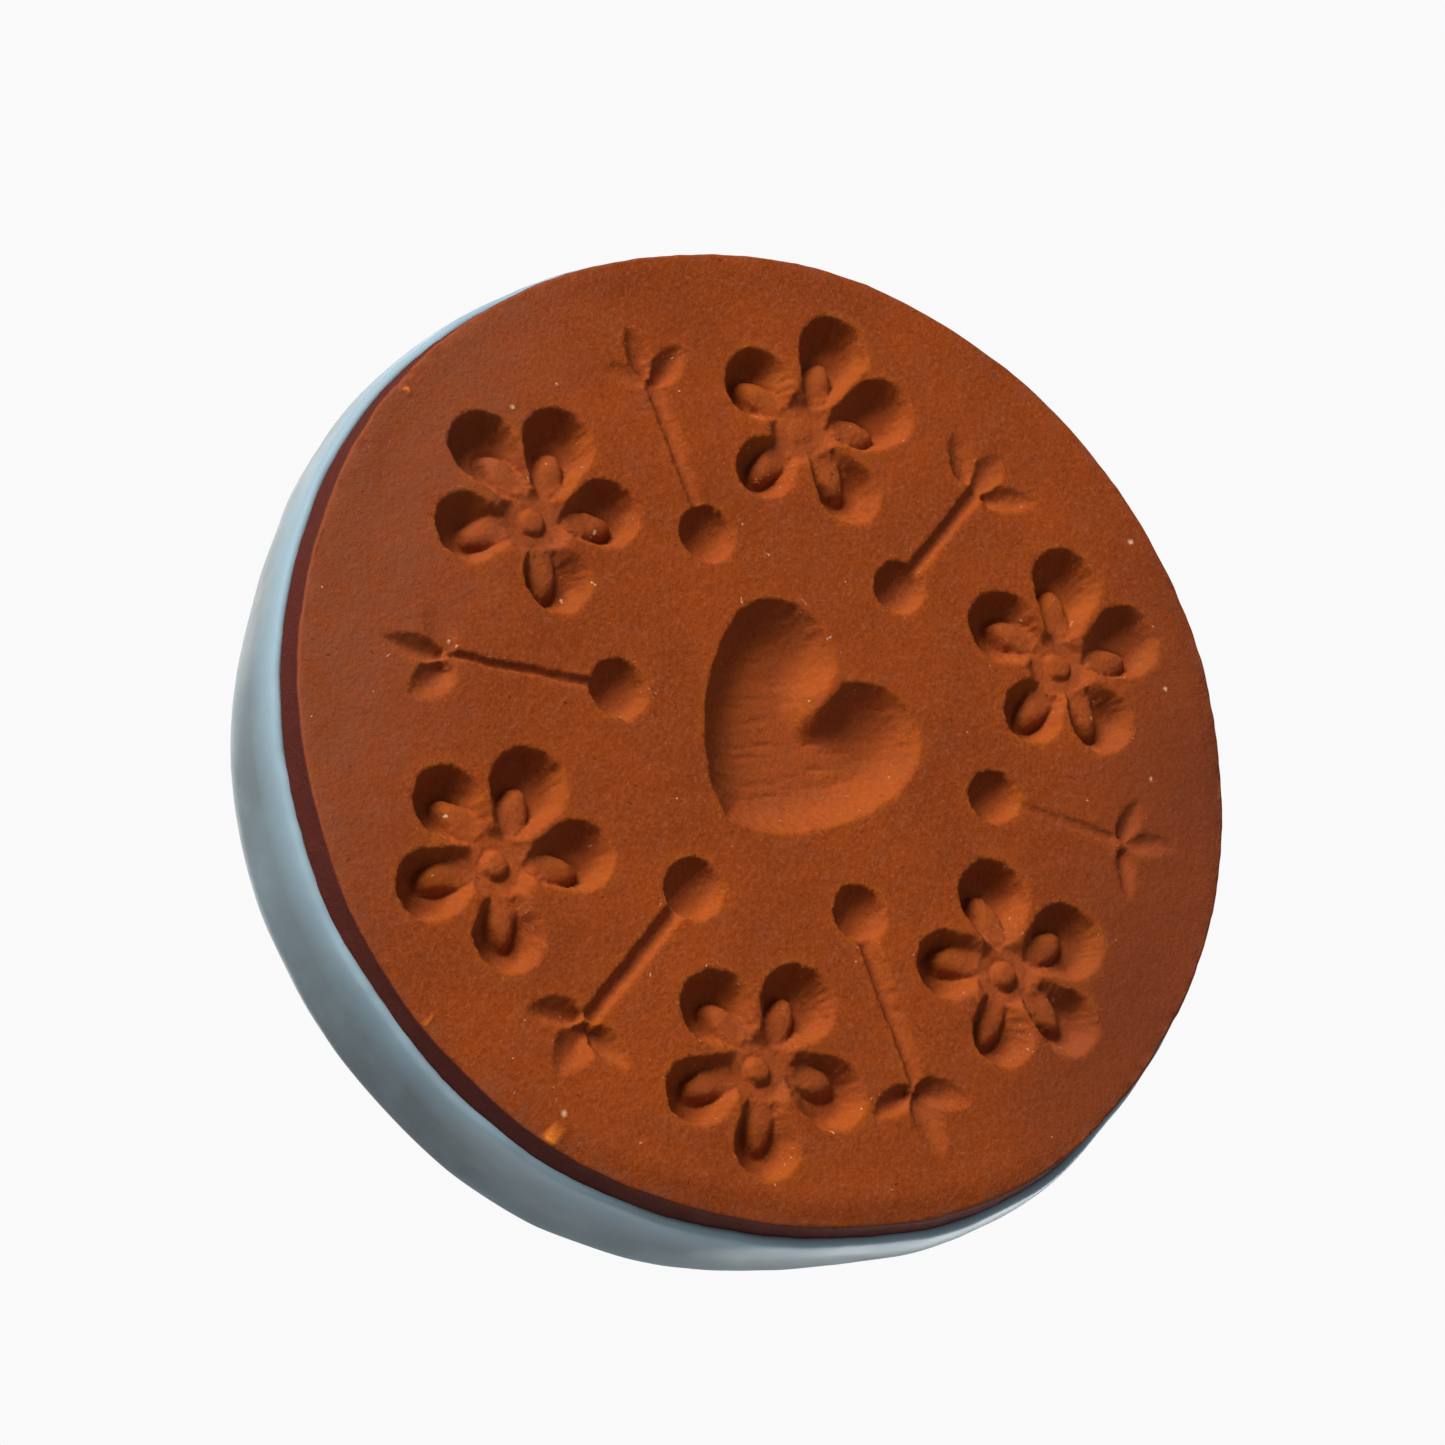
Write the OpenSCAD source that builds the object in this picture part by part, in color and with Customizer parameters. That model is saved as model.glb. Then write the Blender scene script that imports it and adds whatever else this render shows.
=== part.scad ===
// Hand-pressed clay stamp for biscuit dough, clay and paper craft.
// A thick round head carries a debossed heart, flowers and sprigs on its bare lower face.
// A waisted knob handle stands on the head's back, keyed into scored clay with slip.
// One coat of glaze covers the side, the back and the handle, and stops short of the face.
// Origin: centre of the stamping face. +Z runs up the handle, and the face looks down.

/* [Head] */
// Diameter of the flat stamping face
face_d = 51; // [48:0.5:54]
// Rounding where the face meets the side
rim_round = 0.6; // [0.3:0.1:1]
// How far the side bulges past the face's radius
bulge = 0.5; // [0.2:0.1:1]
// Height of the widest point of the side
widest_z = 4; // [3.4:0.2:5]
// Radius of the rounded side above the widest point
side_r = 7.6; // [7:0.2:8.2]
// Angle of the side's arc where the domed back takes over
shoulder_a = 62; // [58:1:66]
// Radius of the domed back
back_r = 28; // [26:0.5:30]

/* [Handle] */
// Radius of the neck at its narrowest
waist_r = 6.3; // [5.6:0.1:7]
// Radius of the hollow sweep of the neck
neck_r = 9; // [8:0.25:10]
// Radius of the knob at its widest
knob_r = 11.5; // [11:0.25:13]
// Radius of the knob's rounded rim
knob_rim_r = 5.5; // [5:0.25:6]
// Angle of the knob's rim where the crown takes over
crown_a = 60; // [55:1:64]
// Radius of the handle's foot
foot_r = 9; // [8.6:0.1:9.4]

/* [Joint] */
// Thickness of the slip between the head and the foot
slip_t = 0.4; // [0.3:0.1:0.6]
// Depth of the score marks in each clay face
score_depth = 0.5; // [0.3:0.1:0.8]
// Width of a score mark
score_w = 0.8; // [0.5:0.1:1]
// Distance between score marks
score_pitch = 3; // [2.5:0.5:3]

/* [Glaze] */
// Thickness of the glaze
glaze_t = 0.4; // [0.3:0.05:0.5]
// Height of the bare clay band below the glaze
band_h = 1.7; // [1.4:0.1:2.2]
// Thickness of the bead along the glaze's lower edge
bead_t = 0.5; // [0.4:0.05:0.6]

/* [Heart] */
// Radius of each lobe's rounded bowl
lobe_r = 3.25; // [3:0.05:3.4]
// Height of the bowls' axes below the face, which sets how soft the floor is
lobe_lift = 1.2; // [1:0.1:1.4]
// Length of each bowl from its far point to the lobe's centre
lobe_len = 12.2; // [11.5:0.1:12.6]

/* [Flowers] */
// Distance from a flower's centre to the centre of a petal's round end
petal_reach = 4.15; // [3.9:0.05:4.3]
// Half width and depth of a petal's round end
petal_r = 1.45; // [1.3:0.05:1.5]
// Half width of a petal where it starts
petal_neck_r = 0.45; // [0.35:0.05:0.6]
// Radius of the raised stamen in each petal
stamen_r = 0.65; // [0.5:0.05:0.7]
// Radius of the shallow disc at a flower's centre
disc_r = 1.6; // [1.4:0.1:1.8]
// Depth of that disc
disc_depth = 0.6; // [0.4:0.1:0.8]
// Radius of the raised dot on the disc
dot_r = 0.6; // [0.4:0.05:0.7]

/* [Sprigs] */
// Radius of the ball pit at a sprig's inner end
ball_r = 1.5; // [1.3:0.05:1.7]
// Radius of the stem's groove
stem_r = 0.45; // [0.35:0.05:0.55]
// Length of a leaf
leaf_len = 2.5; // [2:0.1:2.8]
// Half width and depth of a leaf's outer end
leaf_r = 0.55; // [0.4:0.05:0.6]
// Angle between a sprig's leaves
leaf_spread = 48; // [40:1:60]

/* [Hidden] */
$fn = 64;

// Where each flower was pressed: x, y, then the directions of its five petals
FLOWERS = [
    [16.7, -0.3, [67, 4, -68, 213, 141]],
    [8.4, 14.4, [75, 2, -84, 205, 122]],
    [-9.6, 14.1, [60, -8, -98, 196, 128]],
    [-17.2, -1.2, [50, -26, -98, 178, 110]],
    [-9.8, -14.7, [79, 4, -62, 244, 160]],
    [7.2, -15.9, [75, 4, -66, 230, 145]]
];

// Each sprig: x and y of its ball pit, direction of its stem, length to the leaves
SPRIGS = [
    [7.6, -4.7, -35, 9.1],
    [9.1, 5.3, 33, 8.4],
    [-0.4, 10.6, 91, 7.8],
    [-10.9, 5.3, 154, 7.8],
    [-8.8, -5.2, 214, 8.9],
    [-1.5, -10.5, 270, 8.8]
];

// The heart: its tip, and the centres of its two lobes
HEART_TIP = [-0.75, -6.2];
LOBES = [[-3.65, 2.75], [2.2, 2.95]];

face_r = face_d / 2;
head_r = face_r + bulge;
band_flare = 0.2;
score_reach = foot_r - 1;
arc_steps = 8;
lobe_steps = 7;
// Where a petal starts, and its half width just inside its round end
petal_start = 1;
petal_shoulder_r = petal_r - 0.1;
// How far a stamen stands back from a petal's round end, and its centre's depth
stamen_back = 1;
stamen_z = 1.4;
// Depth of the top of a flower's dot
dot_top = 0.15;
// How far the ball pits' centres and the stems' axes lie outside the face
pit_lift = 0.1;
stem_lift = 0.05;
leaf_neck_r = 0.2;

// Centres of the profile's arcs, each placed so that it runs on smoothly from the one before
side_c = [head_r - side_r, widest_z];
back_c = side_c - (back_r - side_r) * [cos(shoulder_a), sin(shoulder_a)];
seat_z = back_c[1] + back_r;
neck_x = waist_r + neck_r;
neck_c = [neck_x, back_c[1] + sqrt(pow(back_r + neck_r, 2) - pow(neck_x - back_c[0], 2))];
knob_x = knob_r - knob_rim_r;
knob_c = [knob_x, neck_c[1] + sqrt(pow(neck_r + knob_rim_r, 2) - pow(neck_x - knob_x, 2))];
crown_r = knob_rim_r + knob_x / cos(crown_a);
crown_c = [0, knob_c[1] - knob_x * tan(crown_a)];
sweep_a = atan2(neck_c[1] - back_c[1], neck_c[0] - back_c[0]);
under_a = atan2(neck_c[1] - knob_c[1], neck_c[0] - knob_c[0]);
foot_top_z = neck_c[1] - sqrt(pow(neck_r, 2) - pow(neck_x - foot_r, 2));
foot_a = 180 + atan2(neck_c[1] - foot_top_z, neck_x - foot_r);

function arc(c, r, a0, a1, steps = arc_steps) =
    [for (i = [0:steps]) let (a = a0 + (a1 - a0) * i / steps) c + r * [cos(a), sin(a)]];

// The rounded side and the domed back, t outside the clay, up to the angle back_end
function side_curve(t) = arc(side_c, side_r + t, 0, shoulder_a);
function back_curve(t, back_end) = arc(back_c, back_r + t, shoulder_a, back_end);
function neck_curve(t, neck_start) = arc(neck_c, neck_r - t, neck_start, 180 + under_a);
function knob_curve(t) = arc(knob_c, knob_rim_r + t, under_a, crown_a);
function crown_curve(t) = arc(crown_c, crown_r + t, crown_a, 90);

// Everything above the bare band, t outside the clay
function glazed_curve(t) = concat(
    side_curve(t),
    back_curve(t, sweep_a),
    neck_curve(t, 180 + sweep_a),
    knob_curve(t),
    crown_curve(t)
);

// Half section of the clay head
module head_section() {
    polygon(concat(
        [[0, 0]],
        arc([face_r - rim_round, rim_round], rim_round, -90, 0),
        [[face_r + band_flare, band_h]],
        side_curve(0),
        back_curve(0, 90),
        [[0, seat_z]]
    ));
}

// Half section of the handle, from its flat foot to its crown
module handle_section() {
    polygon(concat(
        [[0, seat_z + slip_t], [foot_r, seat_z + slip_t]],
        neck_curve(0, foot_a),
        knob_curve(0),
        crown_curve(0)
    ));
}

// Half section of the slip: a thin bed under the foot and the coil smoothed round it
module slip_section() {
    difference() {
        polygon(concat(
            [[0, seat_z - 1]],
            [back_c + (back_r - 1) * [cos(sweep_a), sin(sweep_a)]],
            arc(neck_c, neck_r, 180 + sweep_a, foot_a),
            [[foot_r, seat_z + slip_t], [0, seat_z + slip_t]]
        ));
        head_section();
    }
}

// Half section of the glaze, with a bead where it stops on the clay
module glaze_section() {
    difference() {
        polygon(concat(
            [[0, widest_z], [face_r - 1, widest_z], [face_r - 1, band_h]],
            arc([face_r + band_flare, band_h + bead_t], bead_t, -90, 0),
            glazed_curve(glaze_t)
        ));
        polygon(concat(
            [[0, band_h - 1], [face_r + band_flare, band_h - 1], [face_r + band_flare, band_h]],
            glazed_curve(0)
        ));
    }
}

// Crossed score marks that run into both clay faces and are filled by the slip
module score_marks() {
    lines = floor(score_reach / score_pitch);
    mark_h = slip_t + 2 * score_depth;
    for (turn = [0, 90], k = [-lines:lines]) {
        half_len = sqrt(pow(score_reach, 2) - pow(k * score_pitch, 2));
        rotate([0, 0, turn])
            translate([-half_len, k * score_pitch - score_w / 2, seat_z - score_depth])
                cube([2 * half_len, score_w, mark_h]);
    }
}

// One petal with its stamen left standing
module petal() {
    difference() {
        union() {
            translate([petal_start, 0, 0])
                rotate([0, 90, 0])
                    cylinder(r1 = petal_neck_r, r2 = petal_shoulder_r, h = petal_reach - petal_start);
            translate([petal_reach, 0, 0]) sphere(r = petal_r);
        }
        translate([petal_reach - stamen_back, 0, stamen_z]) sphere(r = stamen_r);
    }
}

// The hollow that one press of the flower die leaves
module flower(petal_turns) {
    for (turn = petal_turns) rotate([0, 0, turn]) petal();
    difference() {
        translate([0, 0, -disc_depth]) cylinder(r = disc_r, h = 2 * disc_depth);
        translate([0, 0, dot_r + dot_top]) sphere(r = dot_r);
    }
}

// The hollow of one sprig: a ball pit, a stem and three leaves
module sprig(stem_len) {
    translate([0, 0, -pit_lift]) sphere(r = ball_r);
    translate([0, 0, -stem_lift]) rotate([0, 90, 0]) cylinder(r = stem_r, h = stem_len);
    for (side = [-1:1])
        translate([stem_len - leaf_neck_r, 0, 0])
            rotate([0, 0, side * leaf_spread])
                rotate([0, 90, 0])
                    cylinder(r1 = leaf_neck_r, r2 = leaf_r, h = leaf_len);
}

// One lobe of the heart, a soft bowl that narrows towards the heart's tip
module lobe(centre) {
    run = centre - HEART_TIP;
    heading = atan2(run[1], run[0]);
    swell = [for (i = [0:lobe_steps])
        let (s = i / lobe_steps) [lobe_r * sin(90 * s), lobe_len * (s - 1)]];
    round_end = arc([0, 0], lobe_r, 90 / lobe_steps, 90, lobe_steps - 1);
    translate([centre[0], centre[1], -lobe_lift])
        rotate([0, 0, heading])
            rotate([0, 90, 0])
                rotate_extrude()
                    polygon(concat(swell, round_end));
}

// Everything pressed into the face
module face_design() {
    for (centre = LOBES) lobe(centre);
    for (f = FLOWERS) translate([f[0], f[1], 0]) flower(f[2]);
    for (s = SPRIGS) translate([s[0], s[1], 0]) rotate([0, 0, s[2]]) sprig(s[3]);
}

// The clay head, open below where the design is pressed in and scored on its seat
module stamp_head() {
    color([0.57, 0.27, 0.12])
        difference() {
            rotate_extrude() head_section();
            face_design();
            score_marks();
        }
}

// The slip that keys the foot of the handle to the head
module joint_slip() {
    color([0.5, 0.3, 0.2])
        union() {
            rotate_extrude() slip_section();
            score_marks();
        }
}

// The waisted clay handle with its rounded knob
module handle() {
    color([0.6, 0.32, 0.18])
        difference() {
            rotate_extrude() handle_section();
            score_marks();
        }
}

// The glaze over the side, the back and the handle
module glaze_coat() {
    color([0.62, 0.74, 0.79])
        rotate_extrude() glaze_section();
}

stamp_head();
joint_slip();
handle();
glaze_coat();
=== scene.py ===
import math

import bmesh
import bpy
import numpy as np
from mathutils import Matrix, Vector
from mathutils.geometry import delaunay_2d_cdt


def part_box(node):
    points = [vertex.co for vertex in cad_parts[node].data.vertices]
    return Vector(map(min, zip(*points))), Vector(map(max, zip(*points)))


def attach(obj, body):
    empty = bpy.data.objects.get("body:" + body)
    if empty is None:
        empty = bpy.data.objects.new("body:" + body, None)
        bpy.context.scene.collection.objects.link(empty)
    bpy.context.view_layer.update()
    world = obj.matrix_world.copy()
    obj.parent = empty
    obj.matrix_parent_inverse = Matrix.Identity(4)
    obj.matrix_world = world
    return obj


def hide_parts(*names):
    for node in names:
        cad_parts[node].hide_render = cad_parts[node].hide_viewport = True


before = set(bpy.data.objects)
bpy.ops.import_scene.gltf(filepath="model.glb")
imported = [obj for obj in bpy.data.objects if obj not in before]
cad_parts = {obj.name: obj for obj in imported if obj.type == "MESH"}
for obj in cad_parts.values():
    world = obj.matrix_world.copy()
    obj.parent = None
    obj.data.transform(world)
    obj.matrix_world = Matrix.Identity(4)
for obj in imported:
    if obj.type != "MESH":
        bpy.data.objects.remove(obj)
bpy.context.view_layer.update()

MM = 0.001

# ---------------------------------------------------------------- sizes, in millimetres
# The head and the glaze follow the CAD's section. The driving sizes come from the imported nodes.

HEAD_HIGH = [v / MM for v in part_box("stamp_head")[1]]
GLAZE_LOW, GLAZE_HIGH = [[v / MM for v in corner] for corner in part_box("glaze_coat")]

HEAD_R = HEAD_HIGH[0]
GLAZE_T = GLAZE_HIGH[0] - HEAD_R
BAND_H = GLAZE_LOW[2]
TOP_Z = GLAZE_HIGH[2]
SEAT_Z = HEAD_HIGH[2]
BULGE = 0.5
FACE_R = HEAD_R - BULGE
RIM_ROUND = 0.2
BAND_FLARE = 0.2
WIDEST_Z = 4.0
SIDE_R = 7.6
SHOULDER_A = math.radians(62)
BACK_R = 28.0
WAIST_R = 6.3
NECK_R = 9.0
KNOB_R = 11.5
KNOB_RIM_R = 5.5
CROWN_A = math.radians(60)
BEAD_T = 0.34
POOL_H = 2.2
# How far the hidden ends of the head and the glaze run on behind what shows
BAND_END = (0.27, 2.2)
HEAD_TUCK, GLAZE_TUCK = -0.05, -0.1
GLAZE_LAP = (0.12, 0.05)
INNER_END_A = math.radians(78)

# ---------------------------------------------------------------- the pressed design, in millimetres
# Each flower: the middle of its outline, the middle of its dot, how tall the dot is, and the direction
# and strength of the die's lean, which sinks one side deeper. Each petal: the direction and distance of
# its round end from the outline's middle, that end's radius, and the direction of its stamen.
FLOWERS = (
    dict(at=(16.56, -0.11), core=(15.95, -0.85), dot=0.35, lean=(30, 0.12), petals=(
        (143, 3.8, 1.8, 138), (73, 3.55, 1.9, 68), (6, 3.65, 1.87, 14),
        (-65, 4.0, 1.75, -57), (216, 4.1, 1.8, 226))),
    dict(at=(8.18, 14.82), core=(8.5, 13.95), dot=0.08, lean=(20, 0.1), petals=(
        (127, 3.83, 1.8, 139), (67, 4.1, 1.9, 73), (-12, 3.6, 1.95, -6),
        (-82, 4.25, 1.67, -86), (208, 3.94, 1.78, 203))),
    dict(at=(-9.49, 14.51), core=(-9.5, 14.0), dot=0.35, lean=(-10, 0.15), petals=(
        (122, 3.8, 1.92, 132), (55, 4.0, 1.92, 51), (-20, 3.78, 1.95, -12),
        (-95, 3.85, 1.7, -98), (201, 3.76, 1.8, 206))),
    dict(at=(-17.05, -1.49), core=(-16.75, -1.85), dot=0.6, lean=(10, 0.2), petals=(
        (112, 3.55, 2.05, 110), (37, 3.9, 2.0, 35), (-37, 3.9, 1.78, -30),
        (249, 3.3, 1.75, 256), (183, 3.74, 1.76, 186))),
    dict(at=(-9.55, -15.15), core=(-9.55, -15.25), dot=0.5, lean=(20, 0.15), petals=(
        (83, 3.95, 2.0, 77), (13, 3.7, 1.92, 12), (-60, 3.75, 1.72, -56),
        (231, 3.85, 1.78, 236), (158, 3.8, 1.88, 150))),
    dict(at=(6.94, -15.87), core=(6.67, -16.2), dot=0.5, lean=(20, 0.12), petals=(
        (75, 3.8, 2.0, 69), (3, 3.43, 1.83, 5), (-67, 3.9, 1.75, -57),
        (226, 4.1, 1.82, 230), (138, 4.1, 1.78, 144))),
)

# Each sprig: its ball pit and the pit's radius, where its stem ends, the stem's half width and depth
# at each end, and for each leaf where it starts, its direction, length, half width and depth.
SPRIGS = (
    dict(ball=(7.5, -4.8), pit=1.54, fork=(15.0, -9.8), half=(0.3, 0.24), deep=(0.32, 0.36), leaves=(
        (15.1, -9.9, -30, 3.3, 0.62, 0.42), (14.7, -10.2, -84, 2.7, 0.85, 0.42),
        (15.0, -9.7, 27, 2.7, 0.72, 0.14))),
    dict(ball=(9.0, 5.3), pit=1.5, fork=(16.2, 10.0), half=(0.28, 0.56), deep=(0.12, 0.42), leaves=(
        (15.9, 10.0, 87, 2.7, 0.74, 0.42), (16.4, 9.9, 28, 2.8, 0.62, 0.4),
        (16.3, 9.7, -32, 2.7, 0.6, 0.14))),
    dict(ball=(-0.4, 10.7), pit=1.42, fork=(-0.5, 18.4), half=(0.42, 0.46), deep=(0.4, 0.42), leaves=(
        (-0.9, 18.2, 141, 3.2, 0.66, 0.36), (-0.45, 18.3, 87, 2.6, 0.76, 0.3),
        (0.2, 18.2, 44, 2.9, 0.7, 0.34))),
    dict(ball=(-10.9, 5.3), pit=1.42, fork=(-17.3, 8.3), half=(0.24, 0.42), deep=(0.06, 0.2), leaves=(
        (-17.7, 8.5, 77, 2.6, 0.6, 0.28), (-17.9, 8.6, 140, 3.1, 0.6, 0.2),
        (-17.9, 8.2, 227, 2.8, 0.5, 0.2))),
    dict(ball=(-8.8, -5.1), pit=1.42, fork=(-16.1, -10.0), half=(0.62, 0.42), deep=(0.5, 0.34), leaves=(
        (-16.2, -10.2, 150, 3.0, 0.75, 0.46), (-16.3, -10.3, 212, 3.5, 0.8, 0.34),
        (-16.0, -10.4, 280, 2.8, 0.6, 0.42))),
    dict(ball=(-1.5, -10.3), pit=1.56, fork=(-1.3, -19.2), half=(0.5, 0.46), deep=(0.46, 0.46), leaves=(
        (-1.7, -19.5, 187, 2.6, 0.7, 0.46), (-1.5, -19.4, 267, 3.1, 0.92, 0.4),
        (-0.9, -19.2, 318, 2.9, 0.72, 0.46))),
)

# A petal starts as a narrow neck beside the dot. Its floor deepens along the given stretch from the dot.
NECK_AT, NECK_HALF = 1.0, 0.5
PETAL_WALL, PETAL_WALL_POWER = 1.15, 2.2
PETAL_DEPTH = (0.6, 1.5)
PETAL_DEEPENS = (1.3, 2.6)
# The stamen is a low oval mound with a groove round it. The hollow keeps its distance from the oval.
STAMEN_AT, STAMEN_LONG, STAMEN_HALF, STAMEN_TOP = 2.8, 1.4, 0.76, 0.62
STAMEN_MOAT, STAMEN_LEAN = 0.42, (-0.08, 0.36)
STAMEN_GROOVE, STAMEN_GROOVE_AT, STAMEN_GROOVE_WIDE = 0.16, 1.08, 0.16
STAMEN_BLEND, DISC_BLEND = 0.2, 0.15
STRIPE_DEPTH, STRIPE_SIZE = 0.15, 0.2
DISC_R, DISC_DEPTH, DISC_SOFT = 2.15, 0.62, 0.85
DOT_R, DOT_RISE = 0.68, 0.8
DOT_MOAT, DOT_MOAT_AT, DOT_MOAT_WIDE = 0.12, 1.15, 0.2
LEAN_REACH = 5

LEAF_WIDTH, LEAF_DEPTH, LEAF_FADE = 1.15, 1.75, 1.6
LEAF_BELLY, LEAF_BLUNT, LEAF_ROUND = 0.75, 0.55, 1.2
PIT_DEPTH = 0.78
STEM_ROUND = 0.85

HEART_X, HEART_TIP_Y, HEART_WIDE_Y, HEART_HALF = -0.8, -6.15, 2.6, 5.98
HEART_LOBES = ((-3.78, 2.7, 3.05), (2.2, 2.95, 3.05))
HEART_WALL, HEART_DEPTH, HEART_POWER = 2.6, 1.8, 2.3
HEART_NOTCH, HEART_RIDGE_END, HEART_RIDGE_HALF, HEART_RIDGE = (-0.9, 3.7), (-1.0, 1.0), 0.62, 0.95
HEART_SCRATCH = 0.09

# Reach of each kind of feature from its middle, outside which it isn't worked out
HEART_REACH, FLOWER_REACH, SPRIG_REACH = 8.5, 7, 9

# The raggedness of the design's edges: size of the waves, how far they push, seed
RAGGED_EDGES = ((0.24, 0.045, 3), (0.6, 0.06, 5), (1.7, 0.06, 7))

# Bites out of the rim and the face: direction, distance out, height, radius
CHIPS = (
    (-1, 25.7, -0.35, 0.55),
    (1, 25.5, -0.3, 0.45),
    (-38, 25.7, -0.3, 0.45),
    (-98, 25.1, -0.22, 0.42),
    (-87, 25.6, -0.28, 0.4),
    (-80, 25.7, -0.3, 0.42),
    (-150, 25.7, -0.3, 0.45),
    (150, 25.8, -0.3, 0.42),
    (40, 25.7, -0.3, 0.42),
)

# Pale specks of grit: their place on the face and their radius
SPECKS = (
    (-8.6, 22.6, 0.16),
    (-14.7, 17.3, 0.14),
    (20.5, 3.0, 0.14),
    (-3.1, -23.7, 0.15),
    (15.4, -9.2, 0.13),
    (8.0, -11.5, 0.12),
    (-17.0, 12.6, 0.1),
)

# Crumbs of fresh orange clay where the rim was knocked: their place and their radius
CRUMBS = (
    (-3.4, -24.7, 0.55),
    (1.7, -25.0, 0.2),
    (0.3, -25.1, 0.14),
    (4.5, -24.9, 0.16),
    (24.9, -0.4, 0.2),
)

# Where hand shaping left the rim, and the side above it, further out: direction, half width, height
RIM_SWELLS = (
    (95, 62, 0.42),
    (206, 18, 0.2),
    (234, 32, -0.16),
    (276, 34, 0.12),
    (325, 30, -0.08),
)
SIDE_SWELLS = ((275, 110, 0.2),)
SHOULDER_SWELLS = ((280, 62, 0.95),)
# Where each of these sets in and dies out with height: the height and the stretch that it takes
SIDE_RISE, SHOULDER_RISE, SHOULDER_FALL, WOBBLE_FALL = 2.6, (2.5, 5), (14.5, 4), (16, 10)
# Where the face rolls off softly into the rim: direction, half width, drop
ROLL_OFFS = ((248, 62, 0.42), (120, 40, 0.15))
ROLL_FROM, ROLL_WIDE = 23.6, 1.9
RIM_ROUGH_FROM, RIM_ROUGH_WIDE, RIM_ROUGH_TOP = 24.2, 0.8, 3

CRUMB_RISE = 0.12
GRAIN_HEIGHT = 0.02

# The mesh: the finest spacing on the face, how steep a wall takes it, and the points round each loop
FINE = 0.115
STEEP = 0.029
FACE_AROUND, GLAZE_AROUND = 900, 460
NOISE_CELLS = 32

# ---------------------------------------------------------------- helpers


def smooth(t):
    """Eases from 0 to 1 as t goes from 0 to 1, and stays there outside it."""
    t = np.clip(t, 0, 1)
    return t * t * (3 - 2 * t)


def unit(angle):
    return np.array([math.cos(angle), math.sin(angle)])


def arc(centre, radius, start, end, steps):
    """Points on an arc, from the angle start to the angle end, both included."""
    angles = np.linspace(start, end, steps + 1)
    return [(centre[0] + radius * math.cos(a), centre[1] + radius * math.sin(a)) for a in angles]


def noise(points, size, seed):
    """Smooth noise from -1 to 1 over (n, 3) points, with features of about the given size.

    The last number of every call is its seed, so each call always gives the same field.
    """
    lattice = np.random.default_rng(seed).uniform(-1, 1, (NOISE_CELLS,) * 3)
    p = np.asarray(points, float) / size + seed * 7.31
    cell = np.floor(p).astype(int)
    f = smooth(p - cell)
    total = np.zeros(len(p))
    for corner in np.ndindex(2, 2, 2):
        weight = np.prod([f[:, k] if corner[k] else 1 - f[:, k] for k in range(3)], axis=0)
        i, j, k = ((cell[:, a] + corner[a]) % NOISE_CELLS for a in range(3))
        total += weight * lattice[i, j, k]
    return total


def flat_noise(x, y, size, seed):
    return noise(np.stack([x, y, np.zeros_like(x)], axis=1), size, seed)


def local(x, y, at, angle_deg):
    """Coordinates along and across a direction, measured from a point."""
    c, s = unit(math.radians(angle_deg))
    dx, dy = x - at[0], y - at[1]
    return dx * c + dy * s, dy * c - dx * s


def heading_of(start, end):
    """The direction from one point to another, in degrees."""
    return math.degrees(math.atan2(end[1] - start[1], end[0] - start[0]))


def swelling(u, v, r_start, r_end, length):
    """Distance outside a round-ended shape that swells from r_start at u = 0 to r_end at u = length."""
    v = np.abs(v)
    slope = (r_start - r_end) / length
    rise = math.sqrt(1 - slope * slope)
    along = u * rise - v * slope
    side = v * rise + u * slope - r_start
    near = np.hypot(u, v) - r_start
    far = np.hypot(u - length, v) - r_end
    return np.where(along < 0, near, np.where(along > rise * length, far, side))


def deeper(a, b, blend):
    """The deeper of two depths, rounded where they meet."""
    h = np.clip(0.5 + 0.5 * (a - b) / blend, 0, 1)
    return b * (1 - h) + a * h + blend * h * (1 - h)


# ---------------------------------------------------------------- the pressed face


def petal_inside(x, y, flower, petal):
    """Distance inside a petal's outline."""
    angle, out, radius, stamen = petal
    end = np.array(flower["at"]) + out * unit(math.radians(angle))
    neck = np.array(flower["core"]) + NECK_AT * unit(math.radians(stamen))
    u, v = local(x, y, neck, heading_of(neck, end))
    return -swelling(u, v, NECK_HALF, radius, math.dist(end, neck))


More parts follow.
